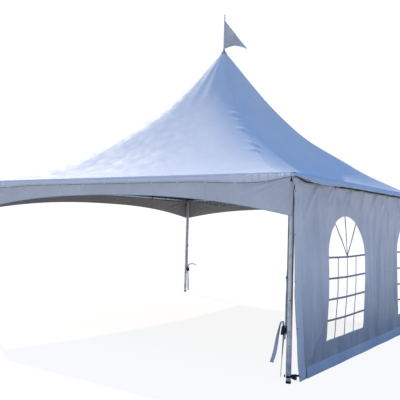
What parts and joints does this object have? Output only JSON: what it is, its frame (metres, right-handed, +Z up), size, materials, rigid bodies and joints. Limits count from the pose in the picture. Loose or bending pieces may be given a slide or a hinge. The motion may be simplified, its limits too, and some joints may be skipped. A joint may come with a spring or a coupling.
{
  "type": "high-peak frame tent",
  "caption": "Square frame tent with a hollow-sloped peaked roof on a short mast held by crossed cables, arched valances, a windowed side wall, ratchet straps and a pennant.",
  "frame": {"origin": "on the ground under the peak, in the middle of the four legs", "axes": "+Z up, -Y out through the open front bay, +X out through the side wall"},
  "size_m": [6.1601, 6.1124, 5.79],
  "materials": {
    "leg_tube": "drawn aluminium tube, satin, lightly scuffed",
    "rail_tube": "drawn aluminium tube, satin",
    "cast_fitting": "cast aluminium, matt grey",
    "steel_cable": "galvanised wire rope and turnbuckles",
    "foot_rubber": "black rubber, matt",
    "roof_sheet": "white coated polyester sheet, satin gloss",
    "valance_sheet": "white coated polyester sheet in shade, satin",
    "wall_sheet": "white coated polyester sheet in shade, satin, creased",
    "skirt_sheet": "bluish coated sheet, satin",
    "clear_film": "clear flexible film",
    "webbing": "light grey-blue woven polyester webbing",
    "black_webbing": "black woven strap",
    "black_steel": "black coated steel, satin",
    "staff_metal": "thin aluminium staff",
    "cap_plastic": "grey moulded cap",
    "pennant_cloth": "grey-blue nylon"
  },
  "bodies": {
    "root": {"leg_front_left": "leg_tube", "leg_front_right": "leg_tube", "leg_back_left": "leg_tube", "leg_back_right": "leg_tube", "foot_cap_front_left": "foot_rubber", "foot_cap_front_right": "foot_rubber", "foot_cap_back_left": "foot_rubber", "foot_cap_back_right": "foot_rubber", "corner_fitting_front_left": "cast_fitting", "corner_fitting_front_right": "cast_fitting", "corner_fitting_back_left": "cast_fitting", "corner_fitting_back_right": "cast_fitting", "eave_rail_front": "rail_tube", "eave_rail_back": "rail_tube", "eave_rail_left": "rail_tube", "eave_rail_right": "rail_tube", "mast_tube": "rail_tube", "mast_foot": "cast_fitting", "mast_head": "cast_fitting", "cross_cable_front_left": "steel_cable", "cross_cable_front_right": "steel_cable", "cross_cable_back_left": "steel_cable", "cross_cable_back_right": "steel_cable", "roof_cover": "roof_sheet", "valance_front": "valance_sheet", "valance_back": "valance_sheet", "valance_left": "valance_sheet", "valance_right": "valance_sheet", "side_wall": "wall_sheet", "window_film_front": "clear_film", "window_film_back": "clear_film", "wall_edge_band_front": "wall_sheet", "wall_edge_band_back": "wall_sheet", "wall_skirt": "skirt_sheet", "corner_strap_front_left": "webbing", "corner_strap_front_right": "webbing", "corner_strap_back_left": "webbing", "corner_strap_back_right": "webbing", "lower_strap_front_left": "webbing", "lower_strap_front_right": "webbing", "lower_strap_back_left": "webbing", "lower_strap_back_right": "webbing", "strap_ratchet_front_left": "black_steel", "strap_ratchet_front_right": "black_steel", "strap_ratchet_back_left": "black_steel", "strap_ratchet_back_right": "black_steel", "wall_tie_front": "black_webbing", "wall_tie_back": "black_webbing", "flag_staff": "staff_metal", "peak_cap": "cap_plastic", "pennant": "pennant_cloth"}
  },
  "joints": []
}
